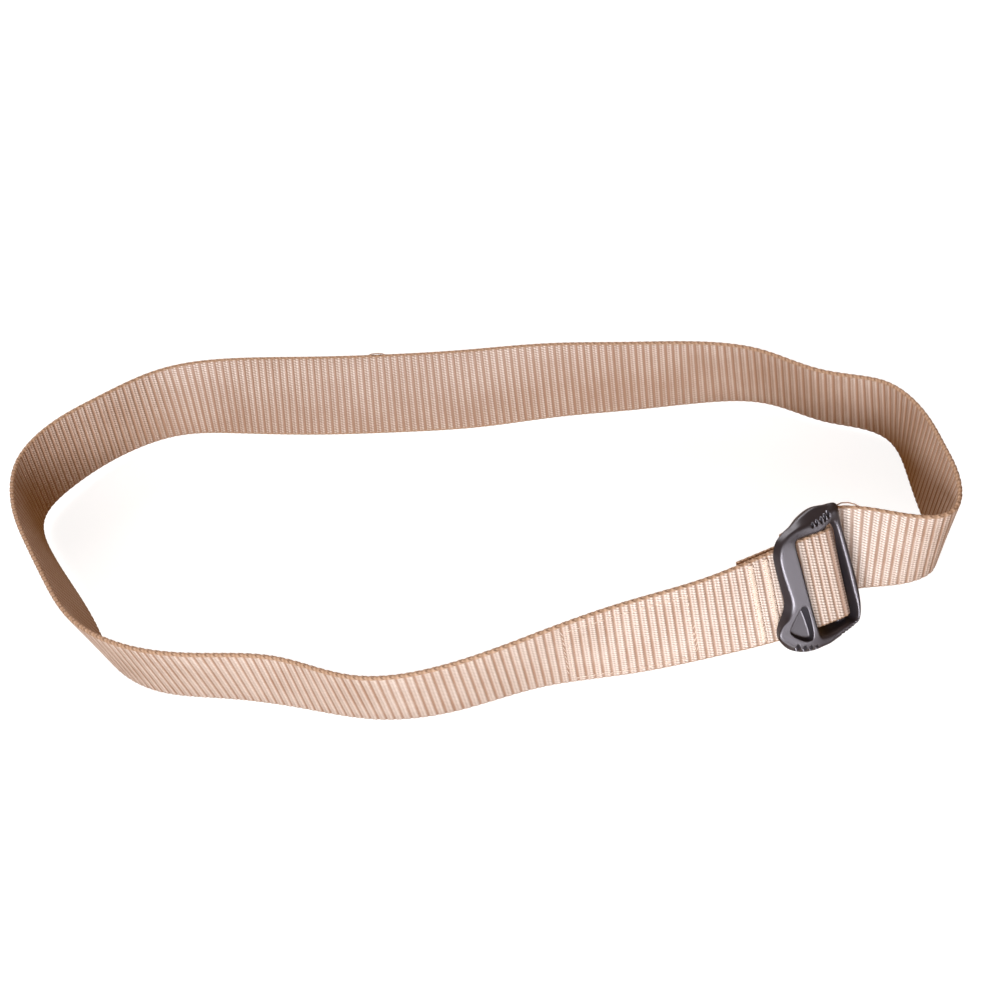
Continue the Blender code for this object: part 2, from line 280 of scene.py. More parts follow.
def strap_outline(distance):
    """Corners round one section, each as its height and its depth from the middle."""
    corners = []
    for side in (1, -1):
        sunk = relief(side * distance)[0]
        half_thick = THICKNESS / 2 + sunk
        flat = WIDTH / 2 - THICKNESS / 2 + sunk * SELVAGE_DRAWS_IN
        for i in range(ACROSS_FACE + 1):
            corners.append((side * flat * (1 - 2 * i / ACROSS_FACE), -side * half_thick))
        other = THICKNESS / 2 + relief(-side * distance)[0]
        for i in range(1, ROUND_EDGE):
            angle = math.pi * i / ROUND_EDGE
            share = i / ROUND_EDGE
            deep = half_thick * (1 - share) + other * share
            high = flat + THICKNESS / 2 * math.sin(angle)
            corners.append((-side * high, -side * deep * math.cos(angle)))
    return corners


def belt_point(point):
    """A point of the belt in millimetres, as metres from the scene's origin."""
    return (point - BELT_MIDDLE) * MM


def webbing_mesh():
    """The strap as one closed mesh. One UV map is the place on the weave in mm, and the other
    is how pale the yarn is and how open the gaps between yarns are."""
    shape = bmesh.new()
    weave = shape.loops.layers.uv.new("weave")
    ribs = shape.loops.layers.uv.new("ribs")

    def lay(face, corners, side):
        """Smooths a face and gives its corners their place on the weave."""
        face.smooth = True
        for loop, (corner, distance, high) in zip(face.loops, corners):
            loop[weave].uv = (side * distance, high)
            loop[ribs].uv = relief(side * distance)[1:]

    rings = []
    for distance, middle, up, inward in strap_path():
        rings.append([(shape.verts.new(belt_point(middle + up * high + inward * deep)), distance, high)
                      for high, deep in strap_outline(distance)])
    count = len(rings[0])
    for ring, following in zip(rings, rings[1:]):
        for i in range(count):
            j = (i + 1) % count
            corners = (ring[i], ring[j], following[j], following[i])
            inside = ACROSS_FACE + ROUND_EDGE / 2 <= i < count - ROUND_EDGE / 2
            lay(shape.faces.new([corner[0] for corner in corners]), corners, -1 if inside else 1)
    for corners in (rings[0][::-1], rings[-1]):
        lay(shape.faces.new([corner[0] for corner in corners]), corners, 1)
    mesh = bpy.data.meshes.new("webbing_strap")
    shape.to_mesh(mesh)
    shape.free()
    return mesh


def linear(colour):
    """sRGB hex colour as the linear values that the shader takes."""
    values = []
    for i in (1, 3, 5):
        part = int(colour[i:i + 2], 16) / 255
        values.append(part / 12.92 if part <= 0.04045 else ((part + 0.055) / 1.055) ** 2.4)
    return (*values, 1.0)


def add_node(tree, kind, settings, inputs, output=0):
    """Adds a node with its settings, joins or sets its inputs, and gives back one output."""
    made = tree.nodes.new(kind)
    for name, value in settings.items():
        setattr(made, name, value)
    for name, value in inputs.items():
        if isinstance(value, bpy.types.NodeSocket):
            tree.links.new(value, made.inputs[name])
        else:
            made.inputs[name].default_value = value
    return made.outputs[output]


def new_material(name):
    material = bpy.data.materials.new(name)
    material.use_nodes = True
    tree = material.node_tree
    return material, tree, tree.nodes["Principled BSDF"]


# Woven nylon webbing, dyed tan. Each yarn floats over both ribs as a slanted bead and dives
# into the deep groove, so the ribs are pale and shiny, and the grooves stay dull and brown, with
# painted shade deepening their colour. The dark specks between the yarns are painted shade too,
# the inner side is painted a deeper tan as painted shade, and the selvage is a row of turned
# picks, painted browner partly for its own tighter weave and partly as painted shade. Drawn nylon
# yarn is glossy in itself, IOR 1.53, and the twist spreads that to roughness 0.5, under a broader
# and weaker sheen from its loose filaments.
YARN = 1.21
YARN_SLANT = 0.42
YARN_RELIEF = 0.28
YARN_FLATNESS = 2.2
RIB_TOP = "#E0D1C9"
# The grooves' darker, browner colour is painted shade down in the grooves.
GROOVE = "#A0806C"
GROOVE_SHINE = 0.3
# Painted shade: the dark colour laid into the gaps between yarns where they open.
GAP_PAINTED_SHADE = "#6A503D"
GAP_SHOWS = (0.25, 0.65)
# The selvage is painted browner than the face, partly for its own tighter weave and partly as painted shade
# on the edge.
SELVAGE = "#A88A72"
SELVAGE_BEAD = "#C3A58D"
SELVAGE_WIDTH = 1.3
SELVAGE_SHOWS = 0.9
# Patches of wear are about 17 mm across, and specks of lint 0.7 mm.
WEAR = 16.67
LINT = 0.7143
# How much the gaps between yarns, the wear and the lint add to how pale the yarn is: the gaps' share is
# painted shade, and the wear and lint are the yarn's own tone.
GAP_SHADE = -0.42
WEAR_SHADE = 0.5
LINT_SHADE = 0.35
# Each pair is for the inner and the outer side.
PAINTED_GAP_SHADE_BY_SIDE = (0.45, 0.6)
# Taken off how pale the yarn is; the inner side's larger share is painted shade.
SIDE_PAINTED_SHADE = (0.76, 0.38)
BURNISH = (0.8, 0.7)


def webbing_material():
    material, tree, shader = new_material("woven_nylon_webbing")
    place = add_node(tree, "ShaderNodeUVMap", {"uv_map": "weave"}, {})
    along = add_node(tree, "ShaderNodeSeparateXYZ", {}, {0: place})
    across = add_node(tree, "ShaderNodeSeparateXYZ", {}, {0: place}, 1)
    on_ribs = add_node(tree, "ShaderNodeUVMap", {"uv_map": "ribs"}, {})
    pale = add_node(tree, "ShaderNodeSeparateXYZ", {}, {0: on_ribs})
    open_gap = add_node(tree, "ShaderNodeSeparateXYZ", {}, {0: on_ribs}, 1)
    outside = add_node(tree, "ShaderNodeMath", {"operation": "GREATER_THAN"}, {0: along, 1: 0.0})
    gap_shade_strength, side_shade, burnish = (
        add_node(tree, "ShaderNodeMapRange", {}, {"Value": outside, "To Min": inner, "To Max": outer})
        for inner, outer in (PAINTED_GAP_SHADE_BY_SIDE, SIDE_PAINTED_SHADE, BURNISH))

    repeat = add_node(tree, "ShaderNodeMath", {"operation": "FLOORED_MODULO"}, {0: along, 1: RIB})
    straight = add_node(tree, "ShaderNodeMath", {"operation": "MULTIPLY_ADD"},
                        {0: repeat, 1: -YARN_SLANT, 2: across})
    yarn = add_node(tree, "ShaderNodeMath", {"operation": "FLOORED_MODULO"}, {0: straight, 1: YARN})
    from_middle = add_node(tree, "ShaderNodeMapRange", {}, {"Value": yarn, "From Max": YARN, "To Min": -1.0})
    between = add_node(tree, "ShaderNodeMath", {"operation": "ABSOLUTE"}, {0: from_middle})
    between = add_node(tree, "ShaderNodeMath", {"operation": "POWER"}, {0: between, 1: YARN_FLATNESS})
    gap = add_node(tree, "ShaderNodeMath", {"operation": "MULTIPLY"}, {0: between, 1: open_gap})
    starts, full = GAP_SHOWS
    # Painted shade in the gaps between yarns, darkest where they open widest.
    painted_gap_shade = add_node(tree, "ShaderNodeMapRange", {"interpolation_type": "SMOOTHSTEP"},
                    {"Value": gap, "From Min": starts, "From Max": full, "To Max": gap_shade_strength})

    wear = add_node(tree, "ShaderNodeTexNoise", {"noise_dimensions": "2D"},
                    {"Vector": place, "Scale": 1 / WEAR, "Detail": 3.0})
    lint = add_node(tree, "ShaderNodeTexNoise", {"noise_dimensions": "2D"},
                    {"Vector": place, "Scale": 1 / LINT, "Detail": 2.0})
    shade = pale
    for cause, weight in ((gap, GAP_SHADE), (wear, WEAR_SHADE), (lint, LINT_SHADE)):
        shade = add_node(tree, "ShaderNodeMath", {"operation": "MULTIPLY_ADD"},
                         {0: cause, 1: weight, 2: shade})
    # The inner side is painted darker here, as painted shade.
    shade = add_node(tree, "ShaderNodeMath", {"operation": "SUBTRACT"}, {0: shade, 1: side_shade})
    # Paler on the rib tops and darker down in the grooves, the grooves' darkness as painted shade.
    dyed = add_node(tree, "ShaderNodeMix", {"data_type": "RGBA", "clamp_factor": True},
                    {0: shade, 6: linear(GROOVE), 7: linear(RIB_TOP)}, 2)

    from_centre = add_node(tree, "ShaderNodeMath", {"operation": "ABSOLUTE"}, {0: across})
    edge = add_node(tree, "ShaderNodeMapRange", {"interpolation_type": "SMOOTHSTEP"}, {
        "Value": from_centre, "From Min": WIDTH / 2 - SELVAGE_WIDTH,
        "From Max": WIDTH / 2 - SELVAGE_WIDTH / 2, "To Max": SELVAGE_SHOWS})
    bead = add_node(tree, "ShaderNodeMath", {"operation": "PINGPONG"}, {0: along, 1: RIB / 4})
    bead = add_node(tree, "ShaderNodeMath", {"operation": "DIVIDE"}, {0: bead, 1: RIB / 4})
    turned = add_node(tree, "ShaderNodeMix", {"data_type": "RGBA"},
                      {0: bead, 6: linear(SELVAGE), 7: linear(SELVAGE_BEAD)}, 2)
    # The selvage's browner colour is partly its own and partly painted shade.
    colour = add_node(tree, "ShaderNodeMix", {"data_type": "RGBA"}, {0: edge, 6: dyed, 7: turned}, 2)
    # The open gaps between yarns are painted dark here, as painted shade.
    colour = add_node(tree, "ShaderNodeMix", {"data_type": "RGBA"},
                      {0: painted_gap_shade, 6: colour, 7: linear(GAP_PAINTED_SHADE)}, 2)
    tree.links.new(colour, shader.inputs["Base Color"])

    raised = add_node(tree, "ShaderNodeMath", {"operation": "SUBTRACT"}, {0: 1.0, 1: gap})
    bump = add_node(tree, "ShaderNodeBump", {},
                    {"Height": raised, "Distance": YARN_RELIEF * MM, "Strength": 1.0})
    tree.links.new(bump, shader.inputs["Normal"])

    off_edge = add_node(tree, "ShaderNodeMath", {"operation": "SUBTRACT"}, {0: 1.0, 1: edge})
    on_top = add_node(tree, "ShaderNodeMapRange", {}, {"Value": pale, "To Min": GROOVE_SHINE})
    shine = add_node(tree, "ShaderNodeMath", {"operation": "MULTIPLY"}, {0: burnish, 1: off_edge})
    shine = add_node(tree, "ShaderNodeMath", {"operation": "MULTIPLY"}, {0: shine, 1: on_top})
    tree.links.new(shine, shader.inputs["Specular IOR Level"])
    tree.links.new(shine, shader.inputs["Coat Weight"])
    shader.inputs["Roughness"].default_value = 0.5
    shader.inputs["IOR"].default_value = 1.53
    shader.inputs["Coat Roughness"].default_value = 0.6
    shader.inputs["Coat IOR"].default_value = 1.6
    return material


def add_piece(name, mesh, material, slot, *replaced):
    mesh.materials.append(material)
    piece = bpy.data.objects.new(name, mesh)
    bpy.context.scene.collection.objects.link(piece)
    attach(piece, "root")
    if replaced:
        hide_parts(*replaced)


nylon = webbing_material()
add_piece("webbing_strap", webbing_mesh(), nylon, "webbing", "webbing")

# Sewn fold
# The sewn end is held behind the front layer by two dense rows of zigzag stitches, in a
# polyester thread a little lighter than the webbing.
THREAD = 0.6
THREAD_SIDES = 6
ZIGZAG_ROWS = (39.4, 33.0)
ZIGZAG_WIDTH = 2.7
ZIGZAG_PITCH = 0.9
ZIGZAG_HALF_LENGTH = 17.2
# Shares of half the width that a stitch reaches, and of half the pitch to the next stitch.
ZIGZAG_REACHES = (0.85, 1.1)
ZIGZAG_STEPS = (0.8, 1.2)
ZIGZAG_LIFTS = (
    # share of the stitch, lift over the ribs' tops
    (0.04, -0.3),
    (0.2, 0.0),
    (0.8, 0.0),
    (0.96, -0.3),
)
THREAD_COLOUR = "#E6D5C8"


# Polyester sewing thread, IOR 1.57, twisted and waxed for the needle, which leaves a soft gleam.
def thread_material():
    material, tree, shader = new_material("polyester_thread")
    shader.inputs["Base Color"].default_value = linear(THREAD_COLOUR)
    shader.inputs["Roughness"].default_value = 0.5
    shader.inputs["IOR"].default_value = 1.57
    return material


def thread_tube(shape, points, radius):
    """Adds a thread through the points as a closed tube."""
    rings = []
    for i, point in enumerate(points):
        direction = (points[min(i + 1, len(points) - 1)] - points[max(i - 1, 0)]).normalized()
        side = direction.orthogonal().normalized()
        other = direction.cross(side)
        rings.append([shape.verts.new((point + (side * math.cos(turn) + other * math.sin(turn)) * radius))
                      for turn in (2 * math.pi * k / THREAD_SIDES for k in range(THREAD_SIDES))])
    for ring, following in zip(rings, rings[1:]):
        for k in range(THREAD_SIDES):
            j = (k + 1) % THREAD_SIDES
            shape.faces.new((ring[k], ring[j], following[j], following[k]))
    shape.faces.new(rings[0][::-1])
    shape.faces.new(rings[-1])


def on_strap(along, high, lift):
    """Point over the strap's outer face, lift above the ribs' tops."""
    middle, forward, up, inward = slanted_frame(along)
    return belt_point(middle + up * high - inward * (THICKNESS / 2 + lift))


def mesh_from(shape, name):
    bmesh.ops.recalc_face_normals(shape, faces=shape.faces)
    for face in shape.faces:
        face.smooth = True
    mesh = bpy.data.meshes.new(name)
    shape.to_mesh(mesh)
    shape.free()
    return mesh


def zigzag_rows():
    random.seed(4)
    shape = bmesh.new()
    for row in ZIGZAG_ROWS:
        corners = []
        high = ZIGZAG_HALF_LENGTH
        side = 1
        while high > -ZIGZAG_HALF_LENGTH:
            reach = side * ZIGZAG_WIDTH / 2 * random.uniform(*ZIGZAG_REACHES)
            corners.append((row + reach, high))
            high -= ZIGZAG_PITCH / 2 * random.uniform(*ZIGZAG_STEPS)
            side = -side
        points = []
        for (along, high), (next_along, next_high) in zip(corners, corners[1:]):
            for share, lift in ZIGZAG_LIFTS:
                points.append(on_strap(along + (next_along - along) * share,
                                       high + (next_high - high) * share, lift))
        thread_tube(shape, points, THREAD / 2 * MM)
    return mesh_from(shape, "zigzag_stitches")


polyester = thread_material()
add_piece("zigzag_stitches", zigzag_rows(), polyester, "webbing")

# Patch stitches
# A hook-and-loop patch is sewn on the inner side, and only its box of lock stitches shows
# on the front: a double column on the left, a looser one on the right, and a row along each edge.
PATCH_ENDS = (66.5, 114.0)
PATCH_HALF_HEIGHT = 15.0
DOUBLE_COLUMN = 1.9
HALF_COLUMN = 1.1
TOP_ROW = 14.4
FOOT_ROW = -15.9
STITCH = 2.3
STITCH_LIFTS = (
    # share of the stitch, lift over the ribs' tops
    (0.0, -0.3),
    (0.15, 0.02),
    (0.5, 0.1),
    (0.85, 0.02),
    (1.0, -0.3),
)
STITCH_WANDERS = 0.2
# Shares of its row's own space that lie between one stitch and the next.
STITCH_SPACES = (0.6, 1.4)
PATCH_THREAD = 0.34


def stitch_line(shape, start, end, slant, space):
    """Lock stitches from start to end, each a short thread that dips into the band."""
    start = Vector(start)
    end = Vector(end)
    direction = (end - start).normalized()
    across = Vector((-direction.y, direction.x))
    place = 0.0
    while place + STITCH < (end - start).length:
        wander = random.uniform(-STITCH_WANDERS, STITCH_WANDERS)
        points = []
        for share, lift in STITCH_LIFTS:
            aside = wander + slant * (share - 0.5)
            spot = start + direction * (place + STITCH * share) + across * aside
            points.append(on_strap(spot.x, spot.y, lift))
        thread_tube(shape, points, PATCH_THREAD / 2 * MM)
        place += STITCH + space * random.uniform(*STITCH_SPACES)


def patch_stitches():
    random.seed(9)
    shape = bmesh.new()
    right, left = PATCH_ENDS
    high = PATCH_HALF_HEIGHT
    rows = (
        # start, end, how far a stitch slants, space to the next
        ((left, high), (left, -high), 0.6, 0.8),
        ((left + DOUBLE_COLUMN, high), (left + DOUBLE_COLUMN, -high), -0.6, 0.8),
        ((right, high), (right, -high), 1.2, 1.6),
        ((right - HALF_COLUMN, 0), (right - HALF_COLUMN, -high), 1.1, 0.6),
        ((left, TOP_ROW), (right, TOP_ROW), 0.1, 0.9),
        ((left, FOOT_ROW), (right, FOOT_ROW), 0.1, 0.9),
    )
    for row in rows:
        stitch_line(shape, *row)
    return mesh_from(shape, "patch_stitches")


add_piece("patch_stitches", patch_stitches(), polyester, "webbing")

# Loose yarn
# Two spots where the selvage's yarn has worked loose: a small loop at the rod, and a lump where
# a yarn was knotted on the rear run's top edge.
LOOSE_YARN = 0.55
LOOSE_SPOTS = (
    # distance along the strap and rise over its top edge
    ((953.2, -0.4), (955.0, 0.7), (957.0, 1.3), (959.0, 1.1), (961.0, -0.2)),
    ((599.5, -0.3), (601.2, 0.35), (604.0, 0.5), (606.2, 0.3), (607.5, -0.3)),
)


def loose_yarn():
    """Each spot as a thread along the top edge."""
    shape = bmesh.new()
    for spot in LOOSE_SPOTS:
        points = []
        for along, rise in spot:
            middle, forward, up, inward = slanted_frame(along)
            points.append(belt_point(middle + up * (WIDTH / 2 + rise)))
        thread_tube(shape, points, LOOSE_YARN / 2 * MM)
    return mesh_from(shape, "loose_yarn")


add_piece("loose_yarn", loose_yarn(), nylon, "webbing")

# Buckle frame
# One frame moulded in black acetal with a fine satin texture: a wide curved front bar with a
# lobe and pocket at its foot, a high arch, a thin right-hand rod and a hidden middle bar that
# the strap's fold turns round. Grip notches are cut over its corners.
# In its own plane u runs to the right along the strap, v up across it and w out to the front,
# from the strap's middle. The sections go round the window: the window's side, the crease where
# the flat face turns down, and the outer side, then the face, rim and back in w.
FRAME_SECTIONS = (
    # in_u, in_v, crease_u, crease_v, out_u, out_v, front, rim, back
    (-6.3, -1.5, -13.7, -1.8, -16.0, -1.6, 6.0, 2.2, 1.75),
    (-6.7, 4.5, -14.4, 4.5, -16.3, 4.6, 6.0, 2.2, 1.75),
    (-7.0, 11.0, -15.1, 10.6, -16.6, 11.4, 6.0, 2.2, 1.75),
    (-7.4, 16.8, -15.0, 16.4, -16.4, 17.2, 6.0, 2.2, 1.75),
    (-7.2, 20.2, -12.9, 21.2, -14.5, 21.9, 5.8, 2.0, 1.75),
    (-5.8, 21.2, -9.5, 24.0, -10.4, 24.5, 5.4, 1.2, 0.6),
    (-3.4, 21.2, -5.5, 25.0, -6.0, 25.8, 5.0, 0.6, -1.6),
    (-0.5, 20.9, -1.5, 24.9, -1.7, 27.5, 4.7, 0.4, -3.6),
    (2.4, 20.6, 2.8, 24.8, 2.9, 29.0, 4.5, 0.2, -4.2),
    (5.8, 20.8, 6.4, 25.6, 6.4, 29.5, 4.3, 0.2, -4.2),
    (8.8, 22.0, 9.6, 26.6, 10.6, 28.8, 4.0, 0.2, -4.2),
    (11.2, 22.2, 13.4, 25.8, 15.3, 27.7, 3.4, 0.4, -3.0),
    (12.4, 19.0, 14.1, 19.4, 15.3, 20.2, 2.6, 1.0, -1.0),
    (13.1, 10.5, 14.9, 10.5, 16.1, 10.5, 2.5, 1.0, -2.6),
    (13.7, 2.0, 15.5, 2.0, 16.7, 2.0, 2.5, 1.0, -3.8),
    (14.1, -7.5, 16.0, -7.5, 17.2, -7.5, 2.5, 1.0, -4.7),
    (14.4, -15.4, 15.7, -15.8, 16.7, -16.1, 2.8, 1.0, -4.8),
    (13.2, -20.3, 14.1, -20.9, 14.7, -21.2, 3.0, 1.0, -4.8),
    (9.2, -21.0, 10.9, -22.5, 11.6, -23.3, 3.2, 1.2, -4.8),
    (5.4, -21.4, 6.8, -23.6, 7.2, -24.4, 3.6, 1.2, -5.2),
    (1.6, -21.9, 2.8, -24.4, 3.0, -25.2, 4.2, 1.4, -5.0),
    (-2.0, -21.6, -1.8, -25.0, -1.8, -26.0, 4.9, 1.8, -4.4),
    (-4.6, -20.4, -7.1, -23.9, -6.6, -26.5, 5.6, 2.4, 1.6),
    (-5.3, -17.0, -13.3, -22.2, -13.0, -25.2, 6.0, 2.4, 1.75),
    (-5.6, -14.2, -18.0, -19.2, -18.8, -21.4, 6.0, 2.4, 1.75),
    (-5.8, -11.4, -22.2, -14.4, -21.8, -15.2, 6.0, 2.4, 1.75),
    (-6.0, -8.8, -20.2, -10.4, -20.6, -10.6, 6.0, 2.4, 1.75),
    (-6.1, -6.4, -16.6, -8.2, -18.4, -7.7, 6.0, 2.4, 1.75),
    (-6.2, -4.2, -14.4, -5.6, -16.7, -4.6, 6.0, 2.4, 1.75),
)
FRAME_STEPS = 8
FRAME_ROUNDING = 1.1
ROUNDING_SHARE = 0.45
ROUNDING_POINTS = 6
BACK_SHRINK = 0.955
POCKET_RIM = ((-9.2, -5.1), (-7.8, -6.6), (-7.5, -19.0), (-9.3, -20.6), (-12.6, -19.4), (-17.0, -15.4),
              (-17.6, -12.8), (-10.7, -5.6))
POCKET_FLOOR = ((-9.6, -8.2), (-9.1, -9.4), (-8.6, -18.6), (-9.7, -19.7), (-12.5, -18.6), (-16.6, -15.0),
                (-17.2, -13.3), (-10.7, -7.4))
POCKET_RIM_W = 6.2
POCKET_FLOOR_W = (2.0, 3.7)
NOTCHES = (
    # u, v, w, half_width, half_length, half_depth
    (1.6, 24.3, 4.4, 0.55, 1.1, 1.3),
    (3.5, 24.6, 4.3, 0.60, 1.3, 1.3),
    (5.7, 24.9, 4.2, 0.60, 1.5, 1.3),
    (7.4, 25.5, 4.0, 0.65, 1.8, 1.4),
    (9.1, 26.5, 3.8, 0.70, 2.1, 1.5),
    (5.5, -23.9, 3.0, 0.50, 0.9, 1.5),
    (7.3, -23.5, 3.0, 0.50, 0.9, 1.5),
    (9.0, -23.0, 2.9, 0.50, 0.9, 1.5),
    (10.5, -22.6, 2.8, 0.50, 0.9, 1.5),
    (12.0, -22.0, 2.7, 0.45, 0.8, 1.4),
    (-15.4, -22.4, 5.2, 1.00, 2.9, 2.6),
    (-12.5, -23.7, 5.2, 0.95, 2.6, 2.5),
    (-9.8, -24.3, 5.0, 0.85, 2.2, 2.3),
    (-7.2, -24.8, 4.8, 0.75, 1.8, 2.1),
)
MOULD_GRAIN = 0.27


def between_rows(rows, steps):
    """Catmull-Rom values round a closed list of rows, a few for each row."""
    rows = np.array(rows)
    result = []
    for i in range(len(rows)):
        before, start, end, after = (rows[(i + k) % len(rows)] for k in (-1, 0, 1, 2))
        for step in range(steps):
            t = step / steps
            result.append(0.5 * (2 * start + (end - before) * t
                                 + (2 * before - 5 * start + 4 * end - after) * t**2
                                 + (3 * start - before - 3 * end + after) * t**3))
    return result


def rounded(corners, radius, count):
    """Each corner of a closed outline cut back and replaced by points of a curve."""
    points = []
    for i, corner in enumerate(corners):
        before = corners[i - 1]
        after = corners[(i + 1) % len(corners)]
        start = corner + (before - corner) * min(ROUNDING_SHARE, radius / (before - corner).length)
        end = corner + (after - corner) * min(ROUNDING_SHARE, radius / (after - corner).length)
        for k in range(count):
            t = k / (count - 1)
            points.append(start * (1 - t)**2 + corner * 2 * t * (1 - t) + end * t**2)
    return points


def frame_ring():
    """The moulded ring round the window, in the buckle's own u, v and w."""
    shape = bmesh.new()
    rings = []
    for row in between_rows(FRAME_SECTIONS, FRAME_STEPS):
        in_u, in_v, crease_u, crease_v, out_u, out_v, front, rim, back = row
        corners = [Vector((in_u * BACK_SHRINK, in_v * BACK_SHRINK, back)), Vector((in_u, in_v, front)),
                   Vector((crease_u, crease_v, front)), Vector((out_u, out_v, rim)),
                   Vector((out_u * BACK_SHRINK, out_v * BACK_SHRINK, back))]
        points = rounded(corners, FRAME_ROUNDING, ROUNDING_POINTS)
        rings.append([shape.verts.new(point * MM) for point in points])
    for ring, following in zip(rings, rings[1:] + rings[:1]):
        for i in range(len(ring)):
            j = (i + 1) % len(ring)
            shape.faces.new((ring[i], ring[j], following[j], following[i]))
    return mesh_from(shape, "buckle_ring")


def middle_bar():
    """The hidden bar that the strap's sewn end turns round."""
    low, high = BAR_ENDS_V
    shape = bmesh.new()
    bmesh.ops.create_cube(shape, size=1.0)
    size = Matrix.Diagonal((BAR_WIDTH * MM, (high - low) * MM, BAR_DEPTH * MM, 1.0))
    slant = Matrix.Rotation(math.radians(BAR_SLANT), 4, "Z")
    place = Matrix.Translation(Vector((BAR_MIDDLE_U, (low + high) / 2, -FOLD_RADIUS)) * MM)
    long_edges = [edge for edge in shape.edges if abs((edge.verts[0].co - edge.verts[1].co).y) > 0.5]
    bmesh.ops.transform(shape, matrix=place @ slant @ size, verts=shape.verts)
    bmesh.ops.bevel(shape, geom=long_edges, offset=(BAR_DEPTH - BAR_FLAT) / 2 * MM, segments=6,
                    profile=0.5, affect="EDGES")
    return mesh_from(shape, "middle_bar")


def soften(points, times):
    """Cuts the corners of a closed outline, each time at a quarter of its sides."""
    points = [Vector(point) for point in points]
    for _ in range(times):
        points = [spot for here, there in zip(points, points[1:] + points[:1])
                  for spot in (here.lerp(there, 0.25), here.lerp(there, 0.75))]
    return points


def pocket_shape():
    """What the pocket takes out of the lobe: the rim's outline narrowing to the floor's."""
    shape = bmesh.new()
    rim = [shape.verts.new(Vector((*place, POCKET_RIM_W)) * MM) for place in soften(POCKET_RIM, times=2)]
    top_v = max(v for u, v in POCKET_FLOOR)
    foot_v = min(v for u, v in POCKET_FLOOR)
    deepest, shallowest = POCKET_FLOOR_W
    floor = []
    for u, v in soften(POCKET_FLOOR, times=2):
        w = deepest + (shallowest - deepest) * (top_v - v) / (top_v - foot_v)
        floor.append(shape.verts.new(Vector((u, v, w)) * MM))
    for i in range(len(rim)):
        j = (i + 1) % len(rim)
        shape.faces.new((rim[i], rim[j], floor[j], floor[i]))
    shape.faces.new(rim[::-1])
    shape.faces.new(floor)
    return mesh_from(shape, "pocket_shape")


def notch_shapes():
    """What the grip notches take out: one long rounded cut for each."""
    shape = bmesh.new()
    for u, v, w, half_width, half_length, half_depth in NOTCHES:
        size = Matrix.Diagonal((half_width * MM, half_length * MM, half_depth * MM, 1.0))
        place = Matrix.Translation(Vector((u, v, w)) * MM)
        bmesh.ops.create_icosphere(shape, subdivisions=3, radius=1.0, matrix=place @ size)
    return mesh_from(shape, "notch_shapes")


def applied(piece):
    """The piece's mesh with its modifiers applied."""
    bpy.context.view_layer.update()
    ready = piece.evaluated_get(bpy.context.evaluated_depsgraph_get())
    return bpy.data.meshes.new_from_object(ready)


def buckle_mesh():
    """Ring and bar joined, pocket and notches cut, and every edge softened as a mould leaves it."""
    blank = bpy.data.objects.new("blank", frame_ring())
    bpy.context.scene.collection.objects.link(blank)
    helpers = []
    for mesh, operation in ((middle_bar(), "UNION"), (pocket_shape(), "DIFFERENCE"),
                            (notch_shapes(), "DIFFERENCE")):
        helper = bpy.data.objects.new(mesh.name, mesh)
        bpy.context.scene.collection.objects.link(helper)
        helpers.append(helper)
        change = blank.modifiers.new(mesh.name, "BOOLEAN")
        change.operation = operation
        change.solver = "EXACT"
        change.object = helper
    grain = blank.modifiers.new("grain", "REMESH")
    grain.mode = "VOXEL"
    grain.voxel_size = MOULD_GRAIN * MM
    smooth = blank.modifiers.new("smooth", "SMOOTH")
    smooth.factor = 0.5
    smooth.iterations = 4
    mesh = applied(blank)
    for thing in (blank, *helpers):
        bpy.data.objects.remove(thing, do_unlink=True)
    middle, forward, up, inward = strap_frame(run_curve, BUCKLE_AT)
    axes = Matrix((-forward, up, -inward)).transposed().to_4x4()
    mesh.transform(Matrix.Translation(belt_point(middle)) @ axes)
    for face in mesh.polygons:
        face.use_smooth = True
    mesh.name = "moulded_buckle"
    return mesh


# Black acetal, moulded with a fine spark texture: nearly black in itself, with a broad grey
# sheen where it mirrors the strip light on the right. The real grain is finer, and is drawn
# 0.4 mm across so that it shows.
ACETAL = "#232127"
ACETAL_SHEEN = "#F7F2FF"
SPARK_TEXTURE = 0.4
SPARK_DEPTH = 0.02


def acetal_material():
    material, tree, shader = new_material("moulded_black_acetal")
    place = add_node(tree, "ShaderNodeTexCoord", {}, {}, "Object")
    grain = add_node(tree, "ShaderNodeTexNoise", {},
                     {"Vector": place, "Scale": 1 / (SPARK_TEXTURE * MM), "Detail": 2.0})
    bump = add_node(tree, "ShaderNodeBump", {},
                    {"Height": grain, "Distance": SPARK_DEPTH * MM, "Strength": 0.6})
    tree.links.new(bump, shader.inputs["Normal"])
    shader.inputs["Base Color"].default_value = linear(ACETAL)
    shader.inputs["Roughness"].default_value = 0.42
    shader.inputs["IOR"].default_value = 1.6
    shader.inputs["Specular Tint"].default_value = linear(ACETAL_SHEEN)
    return material


add_piece("moulded_buckle", buckle_mesh(), acetal_material(), "buckle_frame", "buckle_frame")

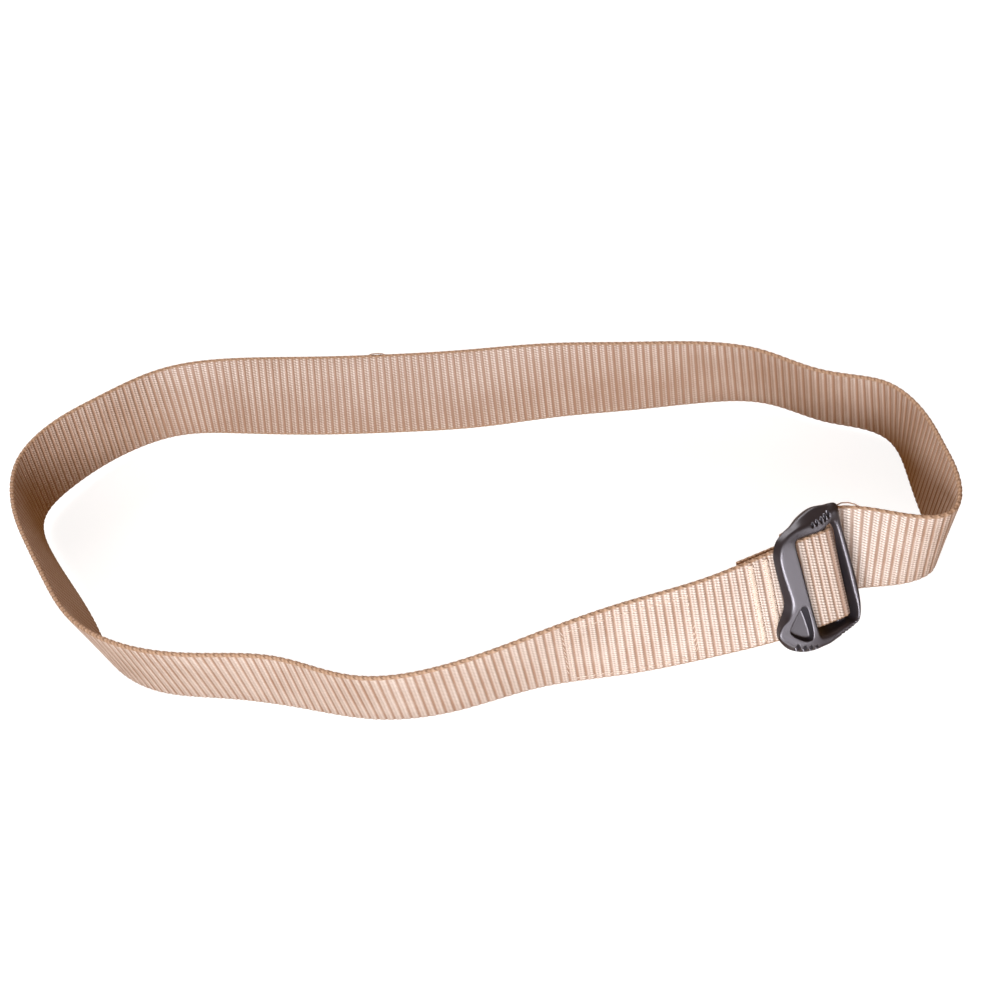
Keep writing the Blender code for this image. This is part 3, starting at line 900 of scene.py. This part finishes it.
# Surface and light
# A pale light table with white paper hung all round it, in a dim, warm room. A key lamp stands
# on the front left and a soft one behind. Three softboxes show only in the sheen of the yarn and
# the plastic: in front, on the right for the buckle's bar, and below for the table's own light.
# Lengths here are in metres.
TABLE = "#8C8C8C"
TABLE_LIGHT = "#FFFFFF"
TABLE_GLOW = 0.9
TABLE_HALF_WIDTH = 30.0
TABLE_GAP = 0.0002
PAPER_RADIUS = 12.0
PAPER_HEIGHT = 10.0
PAPER_FOLDS = 96
ROOM = "#FFB86C"
ROOM_GLOW = 0.25
LAMPS = (
    # name, place, aimed at, width and height, power in watts, shows only in sheen
    ("key", (-0.25, -1.0, 0.4), (0.0, 0.0, 0.0), (0.5, 0.3), 13.4, False),
    ("rear softbox", (-0.3, 1.4, 0.9), (0.0, 0.0, 0.0), (1.2, 0.8), 22.0, False),
    ("front strip", (0.05, -1.3, 0.1), (0.0, 0.0, 0.0), (0.9, 0.3), 50.0, True),
    ("right strip", (1.04, -1.25, 0.12), (0.12, -0.08, 0.03), (0.6, 0.24), 9.0, True),
    ("off the table", (0.0, -0.8, -0.8), (0.0, 0.0, 0.0), (1.0, 0.8), 10.0, True),
)


# White acrylic over lamps: an even glow, and a matt face that takes a faint shadow.
def table_material():
    material, tree, shader = new_material("white_light_table")
    shader.inputs["Base Color"].default_value = linear(TABLE)
    shader.inputs["Roughness"].default_value = 0.8
    shader.inputs["Emission Color"].default_value = linear(TABLE_LIGHT)
    shader.inputs["Emission Strength"].default_value = TABLE_GLOW
    return material


def table_mesh():
    shape = bmesh.new()
    bmesh.ops.create_grid(shape, x_segments=1, y_segments=1, size=TABLE_HALF_WIDTH)
    return mesh_from(shape, "table")


def paper_mesh():
    """Paper hung in a ring, so that low views have a pale background too."""
    shape = bmesh.new()
    bmesh.ops.create_cone(shape, segments=PAPER_FOLDS, radius1=PAPER_RADIUS, radius2=PAPER_RADIUS,
                          depth=PAPER_HEIGHT)
    return mesh_from(shape, "paper")


def add_stage(mesh, material, height):
    """Adds a surface that stands beside the belt and is left out of its reflections."""
    mesh.materials.append(material)
    surface = bpy.data.objects.new(mesh.name, mesh)
    surface.location.z = height - TABLE_GAP
    surface.visible_diffuse = False
    surface.visible_glossy = False
    bpy.context.scene.collection.objects.link(surface)
    return surface


glowing_white = table_material()
add_stage(table_mesh(), glowing_white, 0.0)
paper = add_stage(paper_mesh(), glowing_white, PAPER_HEIGHT / 2)
paper.visible_shadow = False

for name, place, aim, size, power, only_in_sheen in LAMPS:
    light = bpy.data.lights.new(name, "AREA")
    light.shape = "RECTANGLE"
    light.size, light.size_y = size
    light.energy = power
    lamp = bpy.data.objects.new(name, light)
    lamp.location = place
    lamp.rotation_euler = (Vector(aim) - Vector(place)).to_track_quat("-Z", "Y").to_euler()
    lamp.visible_diffuse = not only_in_sheen
    bpy.context.scene.collection.objects.link(lamp)

room = bpy.data.worlds.new("room")
bpy.context.scene.world = room
room.use_nodes = True
air = room.node_tree.nodes["Background"]
air.inputs["Color"].default_value = linear(ROOM)
air.inputs["Strength"].default_value = ROOM_GLOW
bpy.context.scene.view_settings.view_transform = "Standard"
